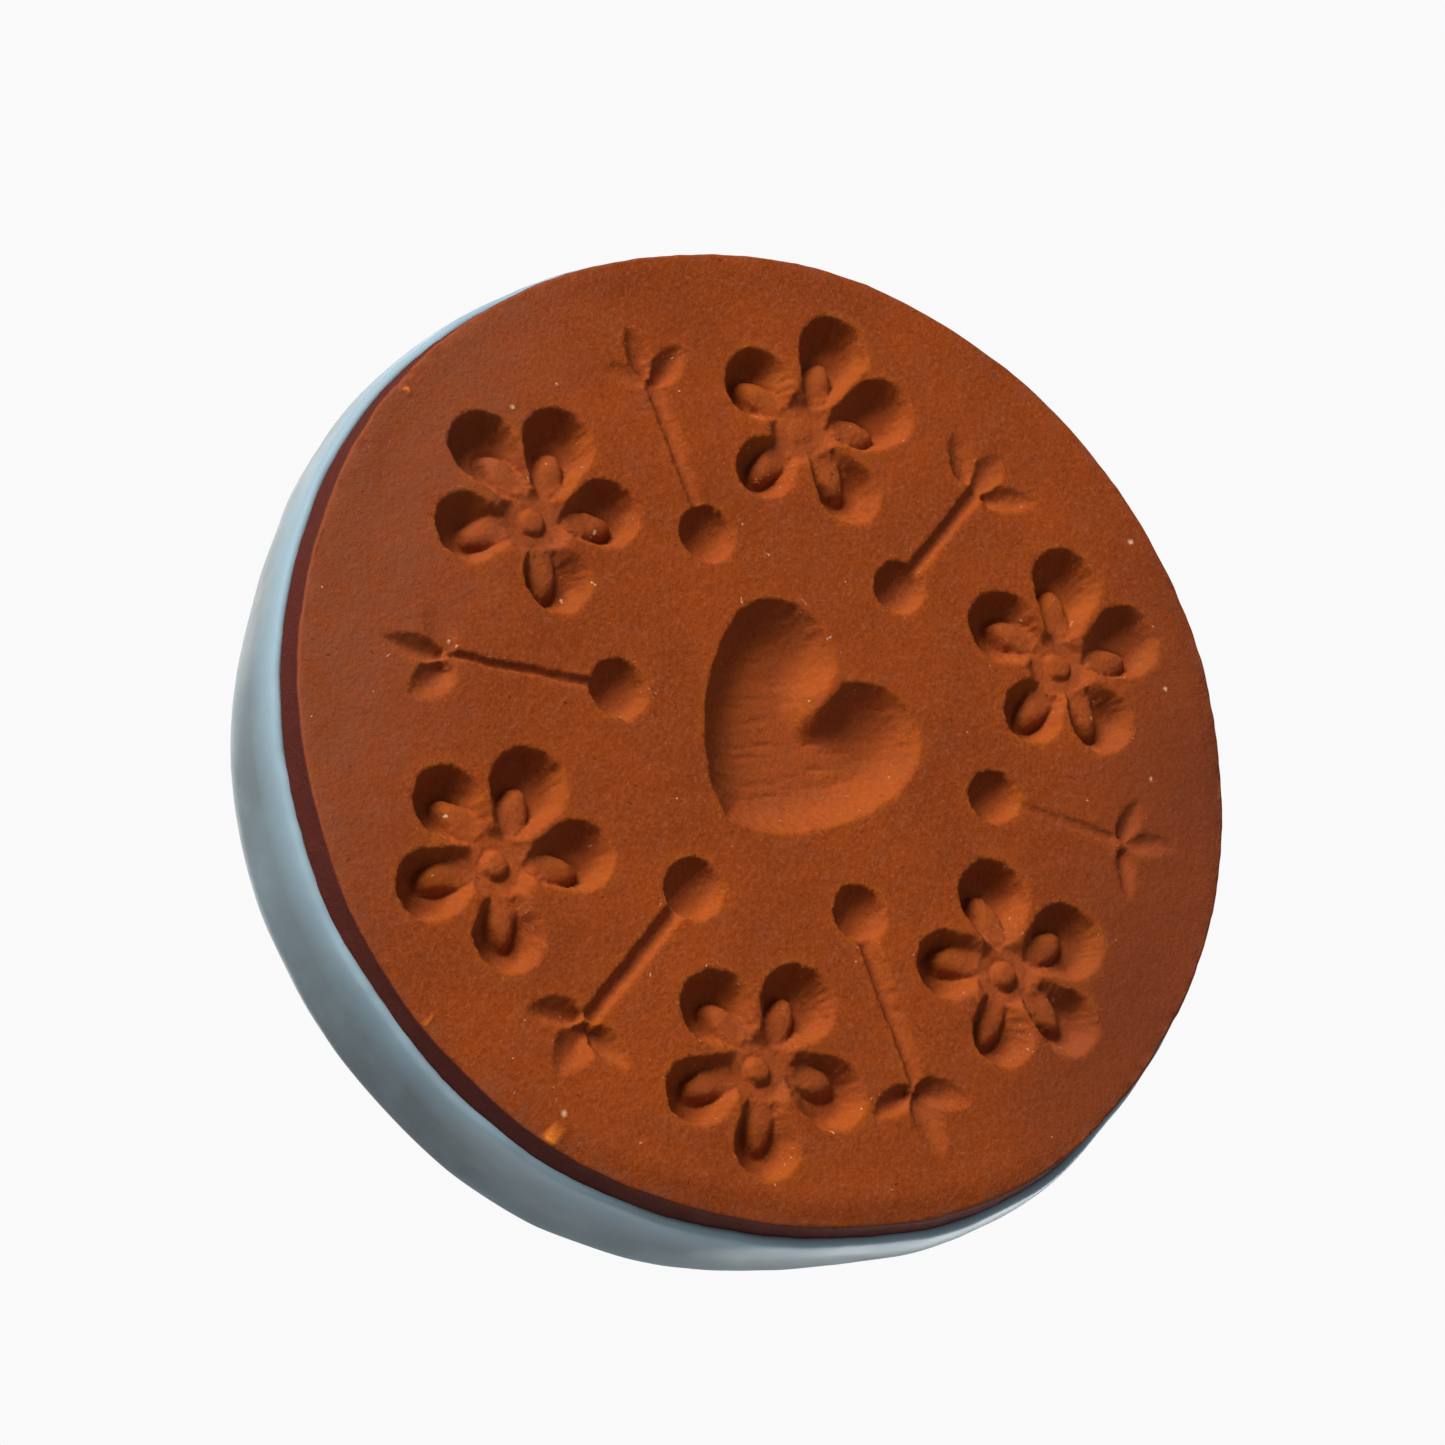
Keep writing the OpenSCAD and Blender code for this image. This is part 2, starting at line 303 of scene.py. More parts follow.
def flower_depth(x, y, flower):
    """Depth of one flower: its petals with their stamens, the disc between them and the dot."""
    core = flower["core"]
    near_floor, far_floor = PETAL_DEPTH
    deepens_at, deepens_over = PETAL_DEEPENS
    depth = np.zeros_like(x)
    for petal in flower["petals"]:
        root = [a + b for a, b in zip(core, STAMEN_LEAN)]
        u, v = local(x, y, root, petal[3])
        ring = np.hypot((u - STAMEN_AT) / STAMEN_LONG, v / STAMEN_HALF)
        around_stamen = STAMEN_MOAT + (1 - ring) * STAMEN_HALF
        inside = deeper(petal_inside(x, y, flower, petal), around_stamen, STAMEN_BLEND)
        shallow = 1 - np.clip(inside / PETAL_WALL, 0, 1)
        stripes = flat_noise(np.arctan2(v, u - STAMEN_AT) * 3 / STRIPE_SIZE, inside * 0.6, 1, 19)
        floor = near_floor + (far_floor - near_floor) * smooth((u - deepens_at) / deepens_over)
        hollow = floor * (1 - shallow ** PETAL_WALL_POWER)
        hollow = hollow + STRIPE_DEPTH * stripes * shallow * (1 - shallow ** 4)
        shape = np.clip(1 - ring ** 2.6, 0, 1) ** 0.55
        hollow = hollow - np.clip(hollow - STAMEN_TOP, 0, None) * shape
        groove = np.exp(-(((ring - STAMEN_GROOVE_AT) / STAMEN_GROOVE_WIDE) ** 2))
        hollow = hollow + STAMEN_GROOVE * groove * (hollow > 0.3)
        depth = np.maximum(depth, hollow * (inside > 0))
    from_core = np.hypot(x - core[0], y - core[1])
    disc = DISC_DEPTH * smooth((DISC_R - from_core) / DISC_SOFT)
    depth = deeper(depth, disc, DISC_BLEND) * (depth + disc > 0)
    lean_u, _ = local(x, y, flower["at"], flower["lean"][0])
    depth = depth * (1 + flower["lean"][1] * np.clip(lean_u / LEAN_REACH, -1, 1))
    ring = from_core / DOT_R
    rise = DOT_RISE * flower["dot"] * np.clip(1 - ring ** 4, 0, 1) ** 0.5
    moat = DOT_MOAT * flower["dot"] * np.exp(-(((ring - DOT_MOAT_AT) / DOT_MOAT_WIDE) ** 2))
    return np.maximum(depth + moat - np.minimum(rise, depth), 0)


def leaf_depth(x, y, leaf):
    """A leaf pointed at both ends, deepest near the stem and fading outwards."""
    start_x, start_y, angle, length, half, deep = leaf
    u, v = local(x, y, (start_x, start_y), angle)
    t = np.clip(u / length, 0, 1)
    width = LEAF_WIDTH * half * np.sin(math.pi * t ** LEAF_BELLY) ** LEAF_BLUNT
    across = np.clip(1 - (v / np.maximum(width, 1e-3)) ** 2, 0, 1) ** LEAF_ROUND
    return LEAF_DEPTH * deep * across * (1 - t ** LEAF_FADE) * (width > 0.02)


def sprig_depth(x, y, sprig):
    """Depth of one sprig: its ball pit, its stem and its leaves."""
    ball, pit, fork = sprig["ball"], sprig["pit"], sprig["fork"]
    half, deep = sprig["half"], sprig["deep"]
    run = math.dist(ball, fork)
    to_ball = np.hypot(x - ball[0], y - ball[1])
    hollow = np.sqrt(np.clip(pit ** 2 - to_ball ** 2, 0, None)) * PIT_DEPTH
    u, v = local(x, y, ball, heading_of(ball, fork))
    t = np.clip(u / run, 0, 1)
    width = half[0] + (half[1] - half[0]) * t
    profile = np.clip(1 - (v / width) ** 2, 0, 1) ** STEM_ROUND
    length = smooth((u - pit * 0.5) / 0.8) * smooth((run + 0.3 - u) / 0.6)
    stem = (deep[0] + (deep[1] - deep[0]) * t) * profile * length
    depth = np.maximum(hollow, stem)
    for leaf in sprig["leaves"]:
        depth = np.maximum(depth, leaf_depth(x, y, leaf))
    return depth


def heart_outline(steps=60):
    """The heart's edge, from its tip up one side, over both lobes, and back down."""
    drop = HEART_WIDE_Y - HEART_TIP_Y
    heights = np.linspace(0, 1, steps)
    half = HEART_HALF * (1 - np.clip(1 - heights, 0, 1) ** 1.8) ** 0.7
    ys = HEART_TIP_Y + drop * heights
    right = list(zip(HEART_X + half, ys))
    left = list(zip(HEART_X - half, ys))
    (lx, ly, lr), (rx, ry, rr) = HEART_LOBES
    notch_right = math.pi - math.acos(min(1, (rx - HEART_X) / rr))
    notch_left = math.acos(min(1, (HEART_X - lx) / lr))
    over_right = arc((rx, ry), rr, math.radians(-6), notch_right, 30)
    over_left = arc((lx, ly), lr, notch_left, math.radians(186), 30)
    return np.array(right + over_right + over_left + left[::-1])


def heart_depth(x, y):
    """Depth of the heart: a rounded bowl with a ridge that runs down from the notch between its lobes."""
    edge = heart_outline()
    starts, ends = edge, np.roll(edge, -1, axis=0)
    best = np.full(len(x), 1e9)
    inside = np.zeros(len(x), bool)
    for (ax, ay), (bx, by) in zip(starts, ends):
        ex, ey = bx - ax, by - ay
        t = np.clip(((x - ax) * ex + (y - ay) * ey) / (ex * ex + ey * ey + 1e-12), 0, 1)
        best = np.minimum(best, np.hypot(x - ax - t * ex, y - ay - t * ey))
        crosses = (ay > y) != (by > y)
        side = ex * (y - ay) / (ey if abs(ey) > 1e-12 else 1e-12) + ax
        inside ^= crosses & (x < side)
    t = np.clip(np.where(inside, best, 0) / HEART_WALL, 0, 1)
    run = math.dist(HEART_NOTCH, HEART_RIDGE_END)
    u, v = local(x, y, HEART_NOTCH, heading_of(HEART_NOTCH, HEART_RIDGE_END))
    ridge = HEART_RIDGE * smooth(1.1 - u / run) * smooth(u + 1) * np.exp(-((v / HEART_RIDGE_HALF) ** 2))
    grooves = flat_noise(x * 3.2 + y * 3.2, (y - x) * 0.5, 1, 17)
    scratch = HEART_SCRATCH * np.clip(grooves, 0, 1)
    return HEART_DEPTH * (1 - (1 - t) ** HEART_POWER) * (1 - ridge) + scratch * t


def press(depth, x, y, centre, reach, shape, *about):
    """Adds one feature to the depths, working out only the points within its reach."""
    near = np.hypot(x - centre[0], y - centre[1]) < reach
    depth[near] = np.maximum(depth[near], shape(x[near], y[near], *about))


def pressed_depth(x, y):
    """Depth of the whole design at points on the face, with the slight raggedness of pressed clay."""
    wx, wy = x, y
    for size, amount, seed in RAGGED_EDGES:
        wx = wx + amount * flat_noise(x, y, size, seed)
        wy = wy + amount * flat_noise(x, y, size, seed + 1)
    depth = np.zeros_like(x)
    press(depth, wx, wy, (HEART_X, 0), HEART_REACH, heart_depth)
    for flower in FLOWERS:
        press(depth, wx, wy, flower["at"], FLOWER_REACH, flower_depth, flower)
    for sprig in SPRIGS:
        middle = [(a + b) / 2 for a, b in zip(sprig["ball"], sprig["fork"])]
        press(depth, wx, wy, middle, SPRIG_REACH, sprig_depth, sprig)
    return depth


# ---------------------------------------------------------------- meshes


def swell_at(theta, swells):
    """The sum of smooth swellings, each with a direction, a half width and a height."""
    total = np.zeros_like(theta)
    for angle, half, height in swells:
        away = np.abs((np.degrees(theta) - angle + 180) % 360 - 180)
        total += height * smooth((half - away) / (half * 0.6))
    return total


def wobble(theta, z):
    """How far hand shaping pushes the side out, in millimetres, fading towards the handle."""
    (rise_at, rise), (fall_at, fall), (fade_at, fading) = SHOULDER_RISE, SHOULDER_FALL, WOBBLE_FALL
    fade = np.clip((fade_at - z) / fading, 0, 1)
    side = smooth((z - RIM_ROUND) / SIDE_RISE)
    shoulder = smooth((z - rise_at) / rise) * smooth((fall_at - z) / fall)
    fine = 0.03 * np.cos(7 * theta) + 0.02 * np.cos(11 * theta + 1)
    swell = swell_at(theta, RIM_SWELLS) + side * swell_at(theta, SIDE_SWELLS)
    return (fine + swell + shoulder * swell_at(theta, SHOULDER_SWELLS)) * fade


def push_round(points):
    """Applies the wobble to (n, 3) points, in full at the rim and less towards the axis."""
    r = np.hypot(points[:, 0], points[:, 1])
    theta = np.arctan2(points[:, 1], points[:, 0])
    share = smooth((r - 6) / 18)
    scale = 1 + share * wobble(theta, points[:, 2]) / np.maximum(r, 1)
    points[:, :2] *= scale[:, None]


def bite(points, chips):
    """Pushes the surface out of each chip's sphere, which leaves a shallow scoop."""
    rough = 1 + 0.2 * noise(points, 0.45, 21) + 0.1 * noise(points, 0.2, 22)
    for angle, out, height, radius in chips:
        c, s = unit(math.radians(angle))
        centre = np.array([out * c, out * s, height])
        offset = points - centre
        distance = np.linalg.norm(offset, axis=1)
        reach = radius * rough
        hit = (distance < reach) & (distance > 1e-6)
        points[hit] = centre + offset[hit] * (reach[hit] / distance[hit])[:, None]


def mesh_object(name, points, faces, material, attributes):
    """A smooth-shaded mesh object from points in millimetres, with its named values for each point."""
    mesh = bpy.data.meshes.new(name)
    mesh.from_pydata([tuple(p) for p in np.asarray(points) * MM], [], faces)
    shape = bmesh.new()
    shape.from_mesh(mesh)
    bmesh.ops.recalc_face_normals(shape, faces=shape.faces)
    shape.to_mesh(mesh)
    shape.free()
    mesh.shade_smooth()
    for key, values in attributes:
        layer = mesh.attributes.new(key, "FLOAT", "POINT")
        layer.data.foreach_set("value", np.asarray(values, np.float32))
    mesh.materials.append(material)
    piece = bpy.data.objects.new(name, mesh)
    bpy.context.scene.collection.objects.link(piece)
    return piece


def near_depth(x, y, reach):
    """The design's greatest depth within a distance of each point."""
    found = pressed_depth(x, y)
    for angle in np.radians(range(0, 360, 45)):
        c, s = reach * unit(angle)
        found = np.maximum(found, pressed_depth(x + c, y + s))
    return found


def wall_share(x, y, reach=0.12):
    """How steeply the design falls away around each point, as the spread of depths nearby."""
    corners = ((1, 0), (-0.5, 0.87), (-0.5, -0.87), (0, 0))
    samples = [pressed_depth(x + reach * c, y + reach * s) for c, s in corners]
    return np.ptp(np.array(samples), axis=0)


def face_lattice(radius):
    """Points for the face: close together on the design's walls and at the marks, wider elsewhere."""
    beside_design, beside_chip, beside_mark = 0.3, 0.4, 0.2
    count = int(radius / FINE) + 2
    i, j = np.meshgrid(np.arange(-2 * count, 2 * count + 1), np.arange(-count - 20, count + 21))
    i, j = i.ravel(), j.ravel()
    x, y = (i + j / 2) * FINE, j * FINE * math.sqrt(0.75)
    keep = np.hypot(x, y) < radius - 0.7 * FINE
    i, j, x, y = i[keep], j[keep], x[keep], y[keep]
    fourth = (i % 4 == 0) & (j % 4 == 0)
    half = (i % 2 == 0) & (j % 2 == 0)
    half_level = half & (near_depth(x, y, beside_design) > 0.01)
    steep = wall_share(x, y) > STEEP
    marked = np.zeros(len(x), bool)
    for angle, out, _, size in CHIPS:
        c, s = unit(math.radians(angle))
        marked |= np.hypot(x - out * c, y - out * s) < size + beside_chip
    for mark_x, mark_y, size in SPECKS + CRUMBS:
        marked |= np.hypot(x - mark_x, y - mark_y) < size + beside_mark
    chosen = fourth | half_level | steep | marked
    beside_rim = np.hypot(x, y) > radius - 3.2 * FINE
    chosen &= ~beside_rim | marked
    theta = np.linspace(0, 2 * math.pi, FACE_AROUND, endpoint=False)
    px = np.concatenate([radius * np.cos(theta), x[chosen]])
    py = np.concatenate([radius * np.sin(theta), y[chosen]])
    return px, py


def triangulate(x, y):
    """Delaunay triangles over points in the plane, facing down, checked to keep the points' order."""
    points = [Vector((a, b)) for a, b in zip(x.tolist(), y.tolist())]
    found, _, faces, *_ = delaunay_2d_cdt(points, [], [], 0, 1e-9)
    if len(found) != len(points):
        raise ValueError("two points of the face are in one place")
    faces = np.array(faces)
    a, b, c = faces[:, 0], faces[:, 1], faces[:, 2]
    up = (x[b] - x[a]) * (y[c] - y[a]) - (x[c] - x[a]) * (y[b] - y[a]) > 0
    faces[up] = faces[up][:, ::-1]
    return faces


def ring_faces(lower, upper):
    """Quads between two closed loops of vertex numbers."""
    following = np.roll(lower, -1), np.roll(upper, -1)
    return np.stack([lower, following[0], following[1], upper], axis=-1)


def side_profile(t):
    """The rounded side and the domed back of the head, t outside the clay."""
    side_c = np.array([HEAD_R - SIDE_R, WIDEST_Z])
    back_c = side_c - (BACK_R - SIDE_R) * unit(SHOULDER_A)
    return side_c, back_c, SIDE_R + t, BACK_R + t


def scattered(points, marks, soft, ragged):
    """How far each point of the face lies inside one of the marks, from 0 to 1."""
    total = np.zeros(len(points))
    uneven = ragged * noise(points, 0.2, 41)
    for mark_x, mark_y, size in marks:
        away = np.hypot(points[:, 0] - mark_x, points[:, 1] - mark_y) + uneven
        total = np.maximum(total, smooth((size - away) / soft) * (points[:, 2] < 0.3))
    return total


def loop(radius, theta, height):
    """Points at one height round the axis."""
    return np.stack([radius * np.cos(theta), radius * np.sin(theta), np.full(len(theta), height)], axis=1)


def build_head(material):
    """The clay head: the pressed face, the rounded rim, the bare band and the hidden part under the glaze."""
    around = FACE_AROUND
    flat_r = FACE_R - RIM_ROUND
    x, y = face_lattice(flat_r)
    triangles = triangulate(x, y)
    r = np.hypot(x, y)
    swell = 0.05 * flat_noise(x, y, 9, 11) + 0.03 * flat_noise(x, y, 3.5, 12)
    grain = flat_noise(x, y, 0.32, 51) + 0.7 * flat_noise(x, y, 0.7, 52)
    depth = pressed_depth(x, y)
    z = depth + (swell + 0.08) * smooth((flat_r - r) / 2) + GRAIN_HEIGHT * grain
    points = [np.stack([x, y, z], axis=1)]

    side_c, back_c, side_r, back_r = side_profile(HEAD_TUCK)
    rim = arc((flat_r, RIM_ROUND), RIM_ROUND, -math.pi / 2, 0, 6)[1:]
    band_rise = BAND_H - RIM_ROUND
    band = [(FACE_R + BAND_FLARE * (k / 6) ** 1.5, RIM_ROUND + band_rise * k / 6) for k in range(1, 7)]
    band += [(FACE_R + BAND_END[0], BAND_END[1])]
    under = arc(side_c, side_r, 0, SHOULDER_A, 3) + arc(back_c, back_r, SHOULDER_A, math.pi / 2, 3)[1:-1]
    theta = np.arctan2(y[:around], x[:around])
    blocks = []
    previous = np.arange(around)
    total = len(x)
    for ring_r, ring_z in rim + band + under:
        points.append(loop(ring_r, theta, ring_z))
        current = np.arange(total, total + around)
        blocks.append(ring_faces(previous, current))
        previous = current
        total += around
    points.append(np.array([[0, 0, SEAT_Z]]))
    caps = [(int(a), int(b), total) for a, b in zip(previous, np.roll(previous, -1))]
    points = np.concatenate(points)

    flat = points.copy()
    depth = np.concatenate([depth, np.zeros(len(points) - len(x))])
    lip = np.zeros(len(points))
    lip[:len(x)] = np.clip(near_depth(x, y, 0.45) - depth[:len(x)], 0, 0.6) / 0.6
    specks = scattered(flat, SPECKS, 0.08, 0.06)
    fresh = scattered(flat, CRUMBS, 0.16, 0.16)
    radial = np.hypot(flat[:, 0], flat[:, 1])
    across = flat[:, 0] - 0.35 * flat[:, 1]
    # Dust with a painted sheen: one side of the face is made duller and greyer
    dust_and_sheen = smooth((across - 14) / 10) * (flat[:, 2] < 2)
    shade = smooth((-across - 14) / 12)
    worn = smooth((radial - flat_r + 0.16) / 0.12) * smooth((0.1 - flat[:, 2]) / 0.06)
    # The bare band above the rim, which the material paints a much darker brown than the face
    bare_band = smooth((flat[:, 2] - 0.03) / 0.09) * (radial > flat_r)

    roughness = 0.05 * noise(points, 1.4, 14) + 0.025 * noise(points, 0.5, 15)
    edge_zone = smooth((radial - RIM_ROUGH_FROM) / RIM_ROUGH_WIDE) * (points[:, 2] < RIM_ROUGH_TOP)
    points[:, :2] *= (1 + edge_zone * roughness / FACE_R)[:, None]
    around_face = np.arctan2(points[:, 1], points[:, 0])
    roll = swell_at(around_face, ROLL_OFFS) * smooth((radial - ROLL_FROM) / ROLL_WIDE) ** 2
    points[:, 2] += roll * np.clip(1 - flat[:, 2] / BAND_H, 0, 1) - CRUMB_RISE * fresh
    push_round(points)
    bite(points, CHIPS)
    faces = [tuple(t) for t in triangles.tolist()]
    faces += [tuple(q) for block in blocks for q in block.tolist()] + caps
    fields = dict(
        pressed=depth, lip=lip, specks=specks, dust_and_sheen=dust_and_sheen,
        shade=shade, worn=worn, bare_band=bare_band, fresh=fresh,
    )
    return mesh_object("stamp_head_clay", points, faces, material, fields.items())


def glaze_profile():
    """Outer half section of the glaze: the bead, the side, the back, the neck, the knob and the crown."""
    t = GLAZE_T
    side_c, back_c, side_r, back_r = side_profile(t)
    neck_x = WAIST_R + NECK_R
    reach = BACK_R + NECK_R
    neck_c = np.array([neck_x, back_c[1] + math.sqrt(reach ** 2 - (neck_x - back_c[0]) ** 2)])
    knob_x = KNOB_R - KNOB_RIM_R
    reach = NECK_R + KNOB_RIM_R
    knob_c = np.array([knob_x, neck_c[1] + math.sqrt(reach ** 2 - (neck_x - knob_x) ** 2)])
    sweep = math.atan2(neck_c[1] - back_c[1], neck_c[0] - back_c[0])
    under = math.atan2(neck_c[1] - knob_c[1], neck_c[0] - knob_c[0])
    crown_c = (0, knob_c[1] - knob_x * math.tan(CROWN_A))
    crown_r = KNOB_RIM_R + knob_x / math.cos(CROWN_A)
    bead = arc((FACE_R + BAND_FLARE + 0.1, BAND_H + BEAD_T), BEAD_T, -math.pi / 2, -0.35, 6)
    bead_r, bead_z = bead[-1]
    reach = HEAD_R + t - bead_r
    rise = WIDEST_Z - bead_z
    lower = [(bead_r + reach * math.sin(k / 8 * math.pi / 2), bead_z + rise * k / 8) for k in range(1, 8)]
    parts = [
        bead,
        lower,
        arc(side_c, side_r, 0, SHOULDER_A, 24),
        arc(back_c, back_r, SHOULDER_A, sweep, 20)[1:],
        arc(neck_c, NECK_R - t, math.pi + sweep, math.pi + under, 34)[1:],
        arc(knob_c, KNOB_RIM_R + t, under, CROWN_A, 26)[1:],
        arc(crown_c, crown_r + t, CROWN_A, math.pi / 2, 20)[1:-1],
    ]
    return [p for part in parts for p in part]


def build_glaze(material):
    """The coat of glaze: the outer skin, with dents and an uneven lower edge, and a hidden inner side."""
    around = GLAZE_AROUND
    theta = np.linspace(0, 2 * math.pi, around, endpoint=False)
    outer = glaze_profile()
    side_c, back_c, side_r, back_r = side_profile(GLAZE_TUCK)
    inner = [(FACE_R + BAND_FLARE - GLAZE_LAP[0], BAND_H + GLAZE_LAP[1])]
    inner += arc(side_c, side_r, 0, SHOULDER_A, 4) + arc(back_c, back_r, SHOULDER_A, INNER_END_A, 3)
    rows = inner[::-1] + outer
    points = np.concatenate([loop(row_r, theta, row_z) for row_r, row_z in rows])
    crown = len(points)
    points = np.concatenate([points, [[0, 0, TOP_Z]]])

    is_outer = np.arange(len(points)) >= len(inner) * around
    height = points[:, 2]
    edge_share = smooth((BAND_H + POOL_H - height) / POOL_H)
    ring = loop(1, theta, 0) * 24
    edge_rise = 0.16 * noise(ring, 5, 31) + 0.07 * noise(ring, 1.6, 32) + 0.03 * noise(ring, 0.6, 36)
    edge_rise = np.append(np.tile(edge_rise, len(rows)), 0)
    points[:, 2] += edge_rise * edge_share

    radial = points.copy()
    radial[:, 2] = 0
    length = np.maximum(np.linalg.norm(radial, axis=1), 1e-6)
    outward = radial / length[:, None]
    dents = 0.09 * noise(points, 6, 33) + 0.05 * noise(points, 2.4, 34) + 0.012 * noise(points, 0.9, 35)
    limit = np.clip(dents, -0.16, 0.2) * is_outer * smooth((length - 1) / 5)
    points += outward * limit[:, None]
    push_round(points)

    faces = []
    for row in range(len(rows) - 1):
        lower = np.arange(row * around, (row + 1) * around)
        faces.append(ring_faces(lower, lower + around))
    last = np.arange((len(rows) - 1) * around, len(rows) * around)
    caps = [(int(a), int(b), crown) for a, b in zip(last, np.roll(last, -1))]
    first = np.arange(around)
    inner_cap = [tuple(int(v) for v in first[::-1])]
    all_faces = [tuple(int(v) for v in q) for block in faces for q in block] + caps + inner_cap
    pooled = np.clip(1 - (points[:, 2] - edge_rise * edge_share - BAND_H) / POOL_H, 0, 1) * is_outer
    return mesh_object("glaze_skin", points, all_faces, material, (("pooled", pooled),))


# ---------------------------------------------------------------- materials
# Every ramp's stops are (position, value). Texture scales are in features a metre.


def node_tree(name):
    """A new material, its node tree and its shader."""
    material = bpy.data.materials.new(name)
    material.use_nodes = True
    tree = material.node_tree
    return material, tree, tree.nodes["Principled BSDF"]


def add(tree, kind, **values):
    """A node with the values of its inputs given by name."""
    node = tree.nodes.new(kind)
    for key, value in values.items():
        node.inputs[key].default_value = value
    return node


def ramp(tree, source, stops):
    """A colour ramp with (position, colour) stops. Greys may be given as one number."""
    node = tree.nodes.new("ShaderNodeValToRGB")
    elements = node.color_ramp.elements
    while len(elements) < len(stops):
        elements.new(0.5)
    for element, (position, colour) in zip(elements, stops):
        element.position = position
        element.color = (colour, colour, colour, 1) if isinstance(colour, (int, float)) else (*colour, 1)
    tree.links.new(source, node.inputs["Fac"])
    return node.outputs["Color"]


def mix(tree, factor, a, b):
    """Mixes two colours. Each argument is a socket, a number or a colour."""
    node = tree.nodes.new("ShaderNodeMix")
    node.data_type = "RGBA"
    for socket, value in ((node.inputs[0], factor), (node.inputs[6], a), (node.inputs[7], b)):
        if isinstance(value, bpy.types.NodeSocket):
            tree.links.new(value, socket)
        elif isinstance(value, (int, float)):
            socket.default_value = value
        else:
            socket.default_value = (*value, 1)
    return node.outputs[2]


def times(tree, a, b):
    """The product of two values, each a socket or a number."""
    node = tree.nodes.new("ShaderNodeMath")
    node.operation = "MULTIPLY"
    for socket, value in zip(node.inputs, (a, b)):
        if isinstance(value, bpy.types.NodeSocket):
            tree.links.new(value, socket)
        else:
            socket.default_value = value
    return node.outputs[0]


def object_coordinates(tree):
    return tree.nodes.new("ShaderNodeTexCoord").outputs["Object"]


def noise_field(tree, coordinates, scale, detail=4.0, roughness=0.6):
    """Noise over the object's own coordinates."""
    node = add(tree, "ShaderNodeTexNoise", Scale=scale, Detail=detail, Roughness=roughness)
    tree.links.new(coordinates, node.inputs["Vector"])
    return node.outputs["Fac"]


def noise_colour(tree, coordinates, scale):
    node = add(tree, "ShaderNodeTexNoise", Scale=scale, Detail=2.0)
    tree.links.new(coordinates, node.inputs["Vector"])
    return node.outputs["Color"]


def dots(tree, coordinates, scale, size, soft):
    """White where a scattered dot lies and black elsewhere, with a chance colour for each dot."""
    node = add(tree, "ShaderNodeTexVoronoi", Scale=scale)
    tree.links.new(coordinates, node.inputs["Vector"])
    return ramp(tree, node.outputs["Distance"], ((size, 1.0), (size + soft, 0.0))), node.outputs["Color"]


def attribute(tree, name):
    node = tree.nodes.new("ShaderNodeAttribute")
    node.attribute_name = name
    return node.outputs["Fac"]


def bump(tree, height, distance, strength, normal=None):
    node = add(tree, "ShaderNodeBump", Strength=strength, Distance=distance)
    tree.links.new(height, node.inputs["Height"])
    if normal is not None:
        tree.links.new(normal, node.inputs["Normal"])
    return node.outputs["Normal"]


CLAY_LIT = (0.29, 0.053, 0.0075)
CLAY_DARK = (0.215, 0.04, 0.0075)
# Grey-brown of dust and wear, also used for a painted sheen over one side of the face
CLAY_DUST_AND_SHEEN = (0.225, 0.062, 0.0275)
CLAY_SHADE = (0.14, 0.034, 0.015)
CLAY_OCHRE = (0.34, 0.08, 0.0075)
CLAY_BAND = (0.085, 0.019, 0.0137)
PORE = (0.07, 0.016, 0.006)
CLAY_FRESH = (0.72, 0.19, 0.025)
CLAY_CHALK = (0.36, 0.11, 0.05)
CLAY_PRESSED = (0.36, 0.09, 0.0275)
SPECK = (0.6, 0.36, 0.22)


